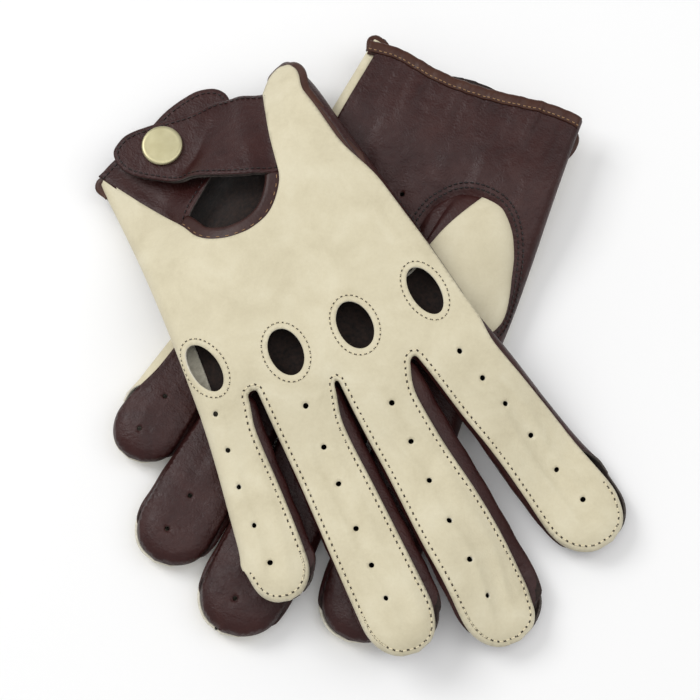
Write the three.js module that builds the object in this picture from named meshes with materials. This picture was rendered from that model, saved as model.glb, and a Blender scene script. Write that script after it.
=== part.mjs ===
// A pair of unlined leather driving gloves, one lying palm up and the other back up across it.
// Each glove is drawn flat as a pattern in its own plan: t runs toward the thumb side, s runs from
// the cuff to the fingertips and h rises from the palm to the back of the hand. The flat hides are
// then domed into a sleeve, and the finished glove is laid on the table or draped over the other.
import * as THREE from 'three';
import { TessellateModifier } from 'three/addons/modifiers/TessellateModifier.js';

// ---- driving dimensions, millimetres ----
const hide = 1.1;                // thickness of every ply of leather
const gap = 0.35;                // air left between two pieces that touch
const cuffWidth = 88;
const cuffPeak = 8;              // how much longer the thumb side of the cuff is
const palmWidth = 104;           // across the knuckles, seam to seam
const palmDome = 6;              // half the thickness of the hand sleeve
const fingerDome = 5.3;          // half the thickness of a finger sleeve
const domeReach = 9;             // distance from a seam to the full dome
const facet = 16;                // longest edge of a facet
const bindingWidth = 5;
const bindingThickness = 2.8;
const keyholeDepth = 49;         // from the cuff to the bottom of the wrist opening
const knuckleHole = [5.6, 9.4];  // half width and half length
const ventRadius = 1.0;
const strapEnd = 35;             // how far the strap crosses the middle of the wrist
const capRadius = 7.8;
const thumbWidth = 25;
const thumbSeam = gap + hide + 1.5;         // palm face to the seam of the back shell of a thumb
const thumbLap = thumbSeam + 2 * hide + 0.45; // palm face to the seam of its front shell
const thumbDeep = thumbLap + 2.1;           // palm face to the top of a folded thumb
const stackGap = thumbDeep + 0.2;           // room between the two palms for both folded thumbs
const hideFall = 40;             // plan distance in which the upper glove drops to the table

// root and tip give the centre line of each finger, wide its width at the root and at the tip
const fingers = [
  { root: [-46, 104], tip: [-59.5, 181], wide: [19.5, 22.5] },
  { root: [-20.7, 114], tip: [-29.5, 214], wide: [26.4, 29.2] },
  { root: [7.2, 118], tip: [4.5, 227], wide: [26.8, 28.4] },
  { root: [36, 120], tip: [50.5, 213], wide: [27.4, 31] },
];
const knuckles = [[-44.5, 88, 0.12], [-17.5, 98, -0.1], [9, 102, -0.05], [37.5, 103.5, 0]];
const vents = [
  [[-51, 107], [-53.4, 120], [-56, 133], [-57.8, 147], [-60, 161]],
  [[-21.5, 120], [-23.3, 135], [-25, 149.5], [-27, 164.5], [-28.6, 179], [-30, 193]],
  [[6.6, 134], [6.2, 149], [5.6, 164], [5.2, 179], [4.6, 194], [4.4, 208]],
  [[37.4, 129], [39.8, 142], [42, 154.5], [44.6, 167.5], [47, 181], [49.4, 195]],
];
const thumbHole = { centre: [26, 60], half: [15.5, 18] };
const snapCentre = [-17, 2];
const lowerTuck = 10;            // how far the weight tucks the lower glove's flaps into its cuff
const keyholeEdge = [[-24.5, 38.5], [-17, 45.5], [-4, keyholeDepth], [8.5, 45], [15.5, 38.5]];
const palmEdge = [
  [-cuffWidth / 2 - 0.2, 5], [-22, 4.6], [0, 3.5], [22, 0.2], [cuffWidth / 2 - 0.6, -cuffPeak + 5],
];
const bindingSteps = 14;
const strapRoot = [[28, -1], [15.5, 34]];
const tabRoot = [[-39, -1], [-24.5, 34]];

const colours = {
  cream: { color: '#d9d1b2', roughness: 0.62 },
  brown: { color: '#3e2a28', roughness: 0.42 },
  lining: { color: '#4a3230', roughness: 0.6 },
  brass: { color: '#aaa378', roughness: 0.34, metalness: 0.85 },
};

// ---- plan outlines ----
const mix = (a, b, k) => a + (b - a) * k;
const clamp01 = (x) => Math.min(1, Math.max(0, x));
const ease = (x) => clamp01(x) ** 2 * (3 - 2 * clamp01(x));

function fingerEdge(finger, side, k) {
  const [t0, s0] = finger.root;
  const [t1, s1] = finger.tip;
  const length = Math.hypot(t1 - t0, s1 - s0);
  const round = 1 - (finger.wide[1] * 0.62) / length;
  const over = clamp01((k - round) / (1 - round));
  const half = 0.5 * mix(finger.wide[0], finger.wide[1], ease(k * 1.1)) * Math.sqrt(1 - over ** 2.3);
  const across = [(s1 - s0) / length, -(t1 - t0) / length];
  return [mix(t0, t1, k) + side * half * across[0], mix(s0, s1, k) + side * half * across[1]];
}

// the rounded end of the slit between finger i and the next one
function crotch(i) {
  const a = fingerEdge(fingers[i], 1, 0);
  const b = fingerEdge(fingers[i + 1], -1, 0);
  const foot = Math.min(a[1], b[1]) - 0.6;
  return [[a[0], foot], [(a[0] + b[0]) / 2, foot - 1.4], [b[0], foot]];
}

// seam heights of the outer faces: the back hide and the palm hide at one point of the outline
const seamRoom = 2 * hide + 0.4; // both hides and a hair of air, outer face to outer face
const seamTip = [seamRoom / 2, -seamRoom / 2];
const seamFork = [4.1, -4.1];
const seamLittle = [-1.0, -1.0 - seamRoom];
const seamIndex = [0.8 + seamRoom, 0.8];
const seamCuff = [-2.2, -3.4 - seamRoom];
const nearCuff = (from, s) => from.map((h, n) => mix(seamCuff[n], h, ease((s - 9) / 30)));

function outline() {
  const points = [];
  const add = (place, heights) => points.push({ t: place[0], s: place[1], e: heights });
  const half = cuffWidth / 2;
  const knuckleHalf = palmWidth / 2;
  const little = new THREE.SplineCurve([
    new THREE.Vector2(-half, 0), new THREE.Vector2(-half - 3.5, 34),
    new THREE.Vector2(-knuckleHalf + 1.2, 68), new THREE.Vector2(-knuckleHalf - 3.6, 103),
  ]);
  for (const p of little.getPoints(8).slice(0, -1)) add([p.x, p.y], nearCuff(seamLittle, p.y));
  fingers.forEach((finger, i) => {
    const left = i === 0 ? seamLittle : seamFork;
    const right = i === 3 ? seamIndex : seamFork;
    const steps = [0, 0.14, 0.28, 0.42, 0.56, 0.7, 0.8, 0.88, 0.94, 0.98];
    const tipShare = (k) => ease((k - 0.76) / 0.2);
    const heights = (from, k) => [0, 1].map((n) => mix(from[n], seamTip[n], tipShare(k)));
    for (const k of steps) add(fingerEdge(finger, -1, k), heights(left, k));
    add(fingerEdge(finger, 0, 1), seamTip);
    for (const k of [...steps].reverse()) add(fingerEdge(finger, 1, k), heights(right, k));
    if (i < 3) {
      for (const corner of crotch(i)) add(corner, seamFork);
    }
  });
  const thumbSide = new THREE.SplineCurve([
    new THREE.Vector2(knuckleHalf - 2.6, 112), new THREE.Vector2(knuckleHalf - 4, 82),
    new THREE.Vector2(half + 2, 48), new THREE.Vector2(half + 0.6, 20),
    new THREE.Vector2(half - 1, -cuffPeak),
  ]);
  for (const p of thumbSide.getPoints(8)) add([p.x, p.y], nearCuff(seamIndex, p.y));
  return points;
}
const seam = outline();

// distance from the nearest seam and the seam heights there
function nearSeam(t, s) {
  let best = Infinity;
  let e = seamTip;
  for (let i = 0; i + 1 < seam.length; i += 1) {
    const a = seam[i];
    const b = seam[i + 1];
    const dt = b.t - a.t;
    const ds = b.s - a.s;
    const k = clamp01(((t - a.t) * dt + (s - a.s) * ds) / (dt * dt + ds * ds));
    const d = Math.hypot(t - a.t - k * dt, s - a.s - k * ds);
    if (d < best) {
      best = d;
      e = [mix(a.e[0], b.e[0], k), mix(a.e[1], b.e[1], k)];
    }
  }
  return { d: best, e };
}

function domed(t, s, side) {
  const { d, e } = nearSeam(t, s);
  const full = mix(palmDome, fingerDome, ease((s - 95) / 30)) * (side === 0 ? 1 : -1);
  const rise = Math.sqrt(1 - (1 - clamp01(d / domeReach)) ** 2);
  return mix(e[side], full, rise);
}
const backFace = (t, s) => domed(t, s, 0);
const palmFace = (t, s) => domed(t, s, 1);

// ---- helpers that turn a flat pattern into a shaped hide ----
function shapeOf(points) {
  const corners = points.map(([t, s]) => new THREE.Vector2(t, s));
  if (THREE.ShapeUtils.isClockWise(corners)) corners.reverse();
  return new THREE.Shape(corners);
}

function ellipseHole([t, s], [a, b], turn = 0, corners = 12) {
  const rim = new THREE.EllipseCurve(t, s, a, b, 0, Math.PI * 2, true, turn);
  return new THREE.Path(rim.getPoints(corners).slice(0, corners));
}

// cuts a flat shape out of a ply, splits it into small facets and moves each corner with place,
// which receives t, s and a depth that runs from 0 on the lower face to 1 on the upper face
function ply(shape, place, longest = facet) {
  let flat = new THREE.ExtrudeGeometry(shape, { depth: 1, bevelEnabled: false });
  flat.deleteAttribute('uv');
  flat.deleteAttribute('normal');
  flat.scale(1, 1, 0.01);
  flat = new TessellateModifier(longest, 30).modify(flat);
  const at = flat.getAttribute('position');
  for (let i = 0; i < at.count; i += 1) {
    const moved = place(at.getX(i), at.getY(i), at.getZ(i) * 100);
    at.setXYZ(i, ...moved);
  }
  return flat;
}

// a folded strip along the cut edge of a hide: the section is drawn as distance from that edge and
// height, negative distances lying beyond the edge, and is then swept along it
function boundEdge(curvePoints, height) {
  const curve = new THREE.SplineCurve(curvePoints.map(([t, s]) => new THREE.Vector2(t, s)));
  const half = bindingThickness / 2;
  const section = shapeOf([
    [-gap, -half], [-gap, half], [-bindingWidth + 1, half], [-bindingWidth, half - 0.7],
    [-bindingWidth, 0.7 - half], [-bindingWidth + 1, -half],
  ]);
  const strip = new THREE.ExtrudeGeometry(section, { depth: 1, steps: bindingSteps, bevelEnabled: false });
  strip.deleteAttribute('uv');
  strip.deleteAttribute('normal');
  const at = strip.getAttribute('position');
  for (let i = 0; i < at.count; i += 1) {
    const k = clamp01(at.getZ(i));
    const p = curve.getPoint(k);
    const along = curve.getTangent(k);
    const t = p.x - along.y * at.getX(i);
    const s = p.y + along.x * at.getX(i);
    at.setXYZ(i, t, s, height(t, s) + at.getY(i));
  }
  return strip;
}

// ---- the pieces of one glove, in the glove's own plan ----
function backPanel() {
  const keyhole = new THREE.SplineCurve(keyholeEdge.map(([t, s]) => new THREE.Vector2(t, s)));
  const round = keyhole.getPoints(bindingSteps).map((p) => [p.x, p.y]).reverse();
  const inner = [[42, -cuffPeak + 0.4], [34, -6.5], ...strapRoot, ...round, tabRoot[1], tabRoot[0]];
  const shape = shapeOf([...seam.map((p) => [p.t, p.s]), ...inner]);
  knuckles.forEach(([t, s, turn]) => shape.holes.push(ellipseHole([t, s], knuckleHole, turn)));
  vents.flat().forEach((v) => shape.holes.push(ellipseHole(v, [ventRadius, ventRadius], 0, 5)));
  return ply(shape, (t, s, depth) => [t, s, backFace(t, s) - hide * (1 - depth)]);
}

function palmPanel() {
  const cuff = new THREE.SplineCurve(palmEdge.map(([t, s]) => new THREE.Vector2(t, s)));
  const edge = cuff.getPoints(bindingSteps).map((p) => [p.x, p.y]).reverse();
  const shape = shapeOf([...seam.slice(1, -1).map((p) => [p.t, p.s]), ...edge]);
  shape.holes.push(ellipseHole(thumbHole.centre, thumbHole.half));
  return ply(shape, (t, s, depth) => [t, s, palmFace(t, s) + hide * depth]);
}

// the wall between two fingers, one piece from fingertip to crotch to fingertip
function fork(i) {
  const last = 0.9;
  const path = [];
  for (let n = 0; n <= 7; n += 1) path.push(fingerEdge(fingers[i], 1, last * (1 - n / 7)));
  path.push(...crotch(i));
  for (let n = 0; n <= 7; n += 1) path.push(fingerEdge(fingers[i + 1], -1, last * (n / 7)));
  const aside = (offset) => path.map(([t, s], n) => {
    const before = path[Math.max(0, n - 1)];
    const after = path[Math.min(path.length - 1, n + 1)];
    const length = Math.hypot(after[0] - before[0], after[1] - before[1]);
    return [t + ((after[1] - before[1]) / length) * offset, s - ((after[0] - before[0]) / length) * offset];
  });
  const shape = shapeOf([...aside(0.5), ...aside(0.5 + hide).reverse()]);
  return ply(shape, (t, s, depth) => {
    const { e } = nearSeam(t, s);
    return [t, s, mix(e[1] + hide + gap, e[0] - hide - gap, depth)];
  }, 12);
}

function thumbOutline({ lean, length }) {
  const [t0, s0] = thumbHole.centre;
  const base = thumbHole.half[1] + 3.5;
  const tip = thumbWidth / 2;
  const points = [];
  const spread = Math.asin((base - tip) / length);
  for (let n = 0; n <= 12; n += 1) {
    const angle = lean + Math.PI / 2 - spread + ((Math.PI + 2 * spread) * n) / 12;
    points.push([t0 + base * Math.cos(angle), s0 + base * Math.sin(angle)]);
  }
  for (let n = 0; n <= 8; n += 1) {
    const angle = lean - Math.PI / 2 - spread + ((Math.PI - 2 * spread) * n) / 8 + 2 * spread;
    points.push([
      t0 + length * Math.cos(lean) + tip * Math.cos(angle), s0 + length * Math.sin(lean) + tip * Math.sin(angle),
    ]);
  }
  return points;
}

function thumbShell(thumb, front) {
  const points = thumbOutline(thumb);
  const shape = shapeOf(points);
  if (!front) shape.holes.push(ellipseHole(thumbHole.centre, thumbHole.half));
  const edge = -(palmDome + (front ? thumbLap : thumbSeam));
  const face = -(palmDome + (front ? thumbDeep : gap));
  return ply(shape, (t, s, depth) => {
    let d = Infinity;
    points.forEach((p, n) => {
      const q = points[(n + 1) % points.length];
      const run = [q[0] - p[0], q[1] - p[1]];
      const k = clamp01(((t - p[0]) * run[0] + (s - p[1]) * run[1]) / (run[0] ** 2 + run[1] ** 2));
      d = Math.min(d, Math.hypot(t - p[0] - k * run[0], s - p[1] - k * run[1]));
    });
    const rise = Math.sqrt(1 - (1 - clamp01(d / 7)) ** 2);
    const outer = mix(edge, face, rise);
    return [t, s, front ? outer + hide * depth : outer - hide * (1 - depth)];
  });
}

function rootDistance(t, s, [a, b]) {
  const run = [b[0] - a[0], b[1] - a[1]];
  return Math.abs((t - a[0]) * run[1] - (s - a[1]) * run[0]) / Math.hypot(...run);
}

// height of the underside of the lining above the sleeve: level with the hide at the root, lifted
// over the stud tab and the closed snap further along
function strapLift(t, s) {
  const d = rootDistance(t, s, strapRoot);
  return mix(-2.5, 0.4, ease(d / 9)) + 3.9 * ease((d - 8) / 22);
}

function flapOutline(points) {
  const curve = new THREE.SplineCurve(points.map(([t, s]) => new THREE.Vector2(t, s)));
  return curve.getPoints(26).map((p) => [p.x, p.y]);
}

// the flaps keep their roots and shift along the glove in between
function tucked(t, s, tuck) {
  return s + tuck * ease((Math.min(rootDistance(t, s, strapRoot), rootDistance(t, s, tabRoot)) - 0.6) / 13);
}

function strapPly(low, tuck) {
  const [a, b] = strapRoot;
  const shape = shapeOf(flapOutline([
    [b[0] - 0.5, b[1] - 1], [2, 28.5], [-14, 21.5], [-27, 13.5], [-strapEnd + 2.5, 6], [-strapEnd, -1],
    [-strapEnd + 3.5, -7.5], [-24, -9.8], [-8, -7.2], [8, -5], [a[0] - 0.5, a[1]],
  ]));
  shape.holes.push(ellipseHole(snapCentre, [2.0, 2.0]));
  const level = (t, s) => palmDome + strapLift(t, s) + low;
  return ply(shape, (t, s, depth) => [t, tucked(t, s, tuck), level(t, s) + hide * depth]);
}

function studTab(tuck) {
  const [a, b] = tabRoot;
  const shape = shapeOf(flapOutline([
    [a[0] + 0.5, a[1] + 0.2], [-19, -9], [-8, -12.4], [3, -14.6], [10, -12.5], [13.5, -6],
    [12, 4], [4, 14], [-10, 22.5], [b[0] + 0.6, b[1] - 0.8],
  ]));
  shape.holes.push(ellipseHole(snapCentre, [2.0, 2.0]));
  return ply(shape, (t, s, depth) => [t, tucked(t, s, tuck), palmDome - hide * (1 - depth)]);
}

// turned snap pieces: profile points are radius and height above the face of the stud tab
const turned = (profile) => {
  const lathe = new THREE.LatheGeometry(profile.map(([r, h]) => new THREE.Vector2(r, h)), 24);
  lathe.rotateX(Math.PI / 2);
  return lathe;
};
const postSeat = -(hide + 0.4);    // under the stud tab
const capSeat = 4.3 + 2 * (hide + gap); // on top of the strap and its lining
const capTop = capSeat + 1.8;
const snapPieces = {
  snap_post: () => turned([[0, postSeat - 0.7], [4.2, postSeat - 0.7], [4.5, postSeat - 0.4], [4.5, postSeat],
    [1.5, postSeat], [1.5, 0.7], [0, 0.7]]),
  snap_stud: () => turned([[1.8, 0.35], [4.9, 0.35], [4.9, 0.9], [2.4, 1.2], [1.9, 1.8], [2.25, 2.6], [1.9, 3.3],
    [0, 3.4], [0, 1.05], [1.8, 1.05], [1.8, 0.35]]),
  snap_socket: () => turned([[2.6, 1.5], [4.6, 1.5], [5.3, 2.0], [5.3, 3.9], [2.6, 3.9], [2.6, 1.5]]),
  snap_cap: () => turned([[0, 3.75], [1.6, 3.75], [1.6, capSeat], [capRadius - 0.4, capSeat],
    [capRadius, capSeat + 0.3], [capRadius, capSeat + 1.3], [capRadius - 0.5, capTop], [0, capTop]]),
};

// ---- laying the gloves down ----
const lowerCuff = [48.7, 104.5];   // middle of the lower glove's cuff on the table
const lowerTurn = 26;              // degrees its fingers swing from straight toward the front
const upperCuff = [-57, 88.5];
const upperTurn = 30;

function planFrame([x, y], degrees, swing) {
  const angle = THREE.MathUtils.degToRad(degrees);
  const s = [swing * Math.sin(angle), -Math.cos(angle)];
  const t = [Math.cos(angle), swing * Math.sin(angle)];
  return { x, y, t, s };
}
const lowerFrame = planFrame(lowerCuff, lowerTurn, -1);
const upperFrame = planFrame(upperCuff, upperTurn, 1);
const toWorld = (f, t, s) => [f.x + t * f.t[0] + s * f.s[0], f.y + t * f.t[1] + s * f.s[1]];
const toPlan = (f, x, y) => [
  (x - f.x) * f.t[0] + (y - f.y) * f.t[1],
  (x - f.x) * f.s[0] + (y - f.y) * f.s[1],
];

const lowerThumb = { lean: THREE.MathUtils.degToRad(113), length: 46 };
const upperThumb = { lean: THREE.MathUtils.degToRad(144), length: 49 };

function thumbDistance(f, thumb, x, y) {
  const [t, s] = toPlan(f, x, y);
  const [t0, s0] = thumbHole.centre;
  const run = [Math.cos(thumb.lean), Math.sin(thumb.lean)];
  const k = Math.min(thumb.length, Math.max(0, (t - t0) * run[0] + (s - s0) * run[1]));
  const base = thumbHole.half[1] + 3.5;
  return Math.hypot(t - t0 - k * run[0], s - s0 - k * run[1]) - mix(base, thumbWidth / 2, k / thumb.length);
}

function outsideLower(x, y) {
  const [t, s] = toPlan(lowerFrame, x, y);
  const ring = [...seam.map((p) => [p.t, p.s])];
  let inside = false;
  for (let i = 0, j = ring.length - 1; i < ring.length; j = i, i += 1) {
    const [ti, si] = ring[i];
    const [tj, sj] = ring[j];
    if (si > s !== sj > s && t < ((tj - ti) * (s - si)) / (sj - si) + ti) inside = !inside;
  }
  return inside ? 0 : nearSeam(t, s).d;
}

// middle surface of each glove above the table
const lowerRise = capTop + 0.05;            // the closed snap under the lower cuff holds it up
function lowerMiddle(x, y) {
  const [, s] = toPlan(lowerFrame, x, y);
  return palmDome + 0.05 + lowerRise * (1 - ease((s - 22) / 50));
}

function upperDrape(x, y) {
  const palm = lowerMiddle(x, y) + palmDome + 0.6;
  const cover = palm * (1 - ease((outsideLower(x, y) - 1) / hideFall));
  const thumbs = Math.min(
    thumbDistance(lowerFrame, lowerThumb, x, y), thumbDistance(upperFrame, upperThumb, x, y),
  );
  return palmDome + 0.6 + cover + stackGap * (1 - ease((thumbs - 3) / hideFall));
}

// the hides lie flat on each other under the snap, so the drape is a plane there
const upperSnap = toWorld(upperFrame, ...snapCentre);
const snapSlope = [0, 1].map((n) => {
  const ahead = upperDrape(upperSnap[0] + (n === 0 ? 4 : 0), upperSnap[1] + (n === 1 ? 4 : 0));
  const behind = upperDrape(upperSnap[0] - (n === 0 ? 4 : 0), upperSnap[1] - (n === 1 ? 4 : 0));
  return (ahead - behind) / 8;
});
function upperMiddle(x, y) {
  const away = [x - upperSnap[0], y - upperSnap[1]];
  const flat = upperDrape(...upperSnap) + snapSlope[0] * away[0] + snapSlope[1] * away[1];
  return mix(flat, upperDrape(x, y), ease((Math.hypot(...away) - 9) / 18));
}

function surfaceFrame(middle, x, y) {
  const step = 0.5;
  const dx = (middle(x + step, y) - middle(x - step, y)) / (2 * step);
  const dy = (middle(x, y + step) - middle(x, y - step)) / (2 * step);
  const normal = new THREE.Vector3(-dx, -dy, 1).normalize();
  return { point: new THREE.Vector3(x, y, middle(x, y)), normal };
}

function layDown(geometry, f, middle, up) {
  const at = geometry.getAttribute('position');
  for (let i = 0; i < at.count; i += 1) {
    const [x, y] = toWorld(f, at.getX(i), at.getY(i));
    const { point, normal } = surfaceFrame(middle, x, y);
    point.addScaledVector(normal, up * at.getZ(i));
    at.setXYZ(i, point.x, point.y, point.z);
  }
  return geometry;
}

// a mirrored glove has its facets turned back so that they still face outward
function turnFacets(geometry) {
  const loose = geometry.index ? geometry.toNonIndexed() : geometry;
  const at = loose.getAttribute('position');
  for (let i = 0; i < at.count; i += 3) {
    const b = [at.getX(i + 1), at.getY(i + 1), at.getZ(i + 1)];
    at.setXYZ(i + 1, at.getX(i + 2), at.getY(i + 2), at.getZ(i + 2));
    at.setXYZ(i + 2, ...b);
  }
  return loose;
}

function finish(name, geometry, colour) {
  geometry.deleteAttribute('normal');
  geometry.computeVertexNormals();
  const mesh = new THREE.Mesh(geometry, new THREE.MeshStandardMaterial(colour));
  mesh.name = name;
  return mesh;
}

function glove(prefix, f, middle, up, thumb, tuck) {
  const group = new THREE.Group();
  const hides = [
    ['back_panel', backPanel(), colours.cream],
    ['palm_panel', palmPanel(), colours.brown],
    ['fork_ring_little', fork(0), colours.brown],
    ['fork_middle_ring', fork(1), colours.brown],
    ['fork_index_middle', fork(2), colours.brown],
    ['thumb_front', thumbShell(thumb, true), colours.brown],
    ['thumb_back', thumbShell(thumb, false), colours.cream],
    ['wrist_binding', boundEdge(palmEdge, (t, s) => palmFace(t, s) + hide / 2, bindingWidth), colours.lining],
    ['keyhole_binding', boundEdge(keyholeEdge, (t, s) => backFace(t, s) - hide / 2, bindingWidth), colours.lining],
    ['stud_tab', studTab(tuck), colours.brown],
    ['strap_lining', strapPly(0, tuck), colours.lining],
    ['strap', strapPly(hide + gap, tuck), colours.brown],
  ];
  for (const [name, geometry, colour] of hides) {
    const laid = layDown(geometry, f, middle, up);
    group.add(finish(`${prefix}_${name}`, up > 0 ? turnFacets(laid) : laid, colour));
  }
  const seat = surfaceFrame(middle, ...toWorld(f, snapCentre[0], snapCentre[1] + tuck));
  const outward = seat.normal.clone().multiplyScalar(up);
  const turn = new THREE.Quaternion().setFromUnitVectors(new THREE.Vector3(0, 0, 1), outward);
  for (const [name, make] of Object.entries(snapPieces)) {
    const mesh = finish(`${prefix}_${name}`, make(), colours.brass);
    mesh.quaternion.copy(turn);
    mesh.position.copy(seat.point).addScaledVector(outward, palmDome);
    group.add(mesh);
  }
  return group;
}

const pair = new THREE.Group();
pair.add(glove('left', lowerFrame, lowerMiddle, -1, lowerThumb, lowerTuck));
pair.add(glove('right', upperFrame, upperMiddle, 1, upperThumb, 0));

// the middle of the footprint is the origin and the table is z = 0
pair.updateMatrixWorld(true);
const box = new THREE.Box3().setFromObject(pair, true);
const middlePoint = box.getCenter(new THREE.Vector3());
pair.position.set(-middlePoint.x, -middlePoint.y, -box.min.z);

export default pair;
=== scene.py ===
import math
from collections import namedtuple

import bpy
import numpy as np
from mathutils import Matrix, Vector
from mathutils.geometry import delaunay_2d_cdt


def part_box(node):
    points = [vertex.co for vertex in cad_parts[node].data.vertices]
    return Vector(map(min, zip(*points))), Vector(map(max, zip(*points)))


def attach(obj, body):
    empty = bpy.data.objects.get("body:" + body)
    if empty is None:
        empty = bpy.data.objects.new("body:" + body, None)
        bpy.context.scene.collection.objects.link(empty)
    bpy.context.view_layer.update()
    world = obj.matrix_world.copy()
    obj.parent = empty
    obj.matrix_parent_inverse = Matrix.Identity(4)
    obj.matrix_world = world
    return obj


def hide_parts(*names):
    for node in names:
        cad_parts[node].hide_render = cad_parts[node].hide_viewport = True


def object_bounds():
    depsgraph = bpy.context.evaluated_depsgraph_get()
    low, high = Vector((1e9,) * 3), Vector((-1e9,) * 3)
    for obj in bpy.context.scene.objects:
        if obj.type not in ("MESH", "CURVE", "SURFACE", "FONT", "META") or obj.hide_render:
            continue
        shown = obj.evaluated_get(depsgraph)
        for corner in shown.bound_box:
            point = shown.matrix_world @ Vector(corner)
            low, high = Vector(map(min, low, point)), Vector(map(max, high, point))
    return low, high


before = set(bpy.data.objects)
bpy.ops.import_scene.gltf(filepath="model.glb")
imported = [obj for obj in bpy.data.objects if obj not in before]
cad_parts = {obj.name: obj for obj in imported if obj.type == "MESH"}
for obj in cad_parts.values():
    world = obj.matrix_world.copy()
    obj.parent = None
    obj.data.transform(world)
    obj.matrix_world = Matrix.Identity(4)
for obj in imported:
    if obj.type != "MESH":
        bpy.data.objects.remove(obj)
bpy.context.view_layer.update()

# A pair of unlined driving gloves. Every pattern is drawn in the plan of one glove, in millimetres:
# t runs toward the thumb side, s from the cuff to the fingertips, h from the palm to the back.
MM = 0.001

# ---- sizes shared with the part ----
CUFF_WIDTH = 88
PALM_DOME = 6.0
FINGER_DOME = 5.3
KNUCKLES = [(-44.5, 88, 0.12), (-17.5, 98, -0.1), (9, 102, -0.05), (37.5, 103.5, 0)]
KNUCKLE_HALF = [(5.1, 9.6), (6.1, 8.8), (6.3, 9.2), (5.4, 9.8)]
VENTS = [
    [(-49.2, 103.9), (-52.3, 117.4), (-56, 131.4), (-58.1, 146.3), (-59.7, 160.7)],
    [(-20.7, 117.4), (-22.3, 133.2), (-24.5, 148.2), (-27.2, 165.4), (-29.0, 179.5), (-30.5, 192.2)],
    [(6.9, 131.8), (6.0, 147.1), (4.3, 163.4), (2.6, 178.8), (1.3, 193.2), (0.5, 206.9)],
    [(37.1, 127.9), (39.7, 139.6), (42.1, 150.8), (44.8, 164.7), (47.7, 180.8), (50.8, 195.6)],
]
VENT_RADIUS = 1.0
KEYHOLE = [(-23.8, 38.5), (-22.2, 43.9), (-18.9, 47.7), (-12.8, 50.8), (-5.5, 51.6), (1.2, 50.2), (6.8, 46.7),
           (12.1, 41.2)]
STRAP_ROOT = [(27.6, 6.2), (14.6, 37.2)]
TAB_ROOT = [(-41.8, -1.6), (-25.0, 35.2)]
THUMB_RIM = [(4.7, 62), (5.6, 52), (8.8, 46), (13.5, 41.4), (20.6, 39.3), (28.8, 40.2), (35, 44.8),
             (39.6, 52.2), (43, 61.3), (45.6, 71), (46.4, 81), (42, 89.5), (31, 92), (18, 87), (8.5, 76)]
THUMB_MIDDLE = (27, 65)
THUMB_SEAM = (21.5, 40)      # where the cream and the brown of the thumb meet at the rim
SNAP = (-17, 2)
THUMB_HOLE = (26, 60)
THUMB_HALF = (15.5, 18)
THUMB_WIDTH = 25
STACK_GAP = 7.9
HIDE_FALL = 40
LOWER_RISE = 9.05
LOWER_TUCK = 10
HIDE = 0.95                 # glove leather
FLAP_PLY = 1.0              # leather of the wrist flaps
BINDING = 5.2               # width of the folded binding strips
DOME_RUN = 10.5             # how far in from a seam the hide reaches its full height
SEAM_INSET = 1.9            # from the cut edge to the row of prick stitches
EDGE_ROUND = 5.0            # radius of the fold where one hide wraps round the side of the hand

rng = np.random.default_rng(41)


def ease(x):
    x = np.clip(x, 0, 1)
    return x * x * (3 - 2 * x)


def mix(a, b, k):
    return a + (b - a) * k


# ---- soft unevenness of leather ----
class Ripple:
    """Smooth random height over the plan, about one in size, with hills of the given size."""

    def __init__(self, size, seed, stretch=(1.0, 1.0)):
        self.size = size
        self.stretch = stretch
        self.table = np.random.default_rng(seed).normal(0, 1, (64, 64))

    def __call__(self, t, s):
        u = np.asarray(t, float) / (self.size * self.stretch[0]) + 700.3
        v = np.asarray(s, float) / (self.size * self.stretch[1]) + 700.7
        iu = np.floor(u).astype(int)
        iv = np.floor(v).astype(int)
        fu = ease(u - iu)
        fv = ease(v - iv)
        at = lambda a, b: self.table[(iu + a) % 64, (iv + b) % 64]
        return mix(mix(at(0, 0), at(1, 0), fu), mix(at(0, 1), at(1, 1), fu), fv)


# ---- curves in the plan ----
def smooth_line(points, count):
    """A soft curve through the points, sampled evenly along its points."""
    p = np.array(points, float)
    k = np.linspace(0, len(p) - 1, count)
    i = np.minimum(k.astype(int), len(p) - 2)
    f = (k - i)[:, None]
    a, b = p[np.maximum(i - 1, 0)], p[i]
    c, d = p[i + 1], p[np.minimum(i + 2, len(p) - 1)]
    return 0.5 * (2 * b + (c - a) * f + (2 * a - 5 * b + 4 * c - d) * f**2 + (3 * b - a - 3 * c + d) * f**3)


def lengths_along(line):
    step = np.hypot(*np.diff(line, axis=0).T)
    return np.concatenate([[0], np.cumsum(step)])


def even_line(line, step):
    """The same line with corners about step apart."""
    run = lengths_along(line)
    count = max(2, int(round(run[-1] / step)) + 1)
    at = np.linspace(0, run[-1], count)
    return np.stack([np.interp(at, run, line[:, n]) for n in range(line.shape[1])], axis=1)


def side_of(line):
    """Unit normals on the right-hand side of travel."""
    d = np.gradient(line, axis=0)
    d /= np.maximum(np.hypot(d[:, 0], d[:, 1]), 1e-9)[:, None]
    return np.stack([d[:, 1], -d[:, 0]], axis=1)


def ring_of(centre, half, turn=0.0, count=40):
    a = np.linspace(0, 2 * math.pi, count, endpoint=False)
    x, y = half[0] * np.cos(a), half[1] * np.sin(a)
    return np.stack([centre[0] + x * math.cos(turn) - y * math.sin(turn),
                     centre[1] + x * math.sin(turn) + y * math.cos(turn)], axis=1)


def inside(poly, pts):
    """True for the points inside a closed outline."""
    x, y = pts[:, 0], pts[:, 1]
    hit = np.zeros(len(pts), bool)
    for (x0, y0), (x1, y1) in zip(poly, np.roll(poly, -1, axis=0)):
        if y0 == y1:
            continue
        cross = (y0 > y) != (y1 > y)
        hit ^= cross & (x < (x1 - x0) * (y - y0) / (y1 - y0) + x0)
    return hit


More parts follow.
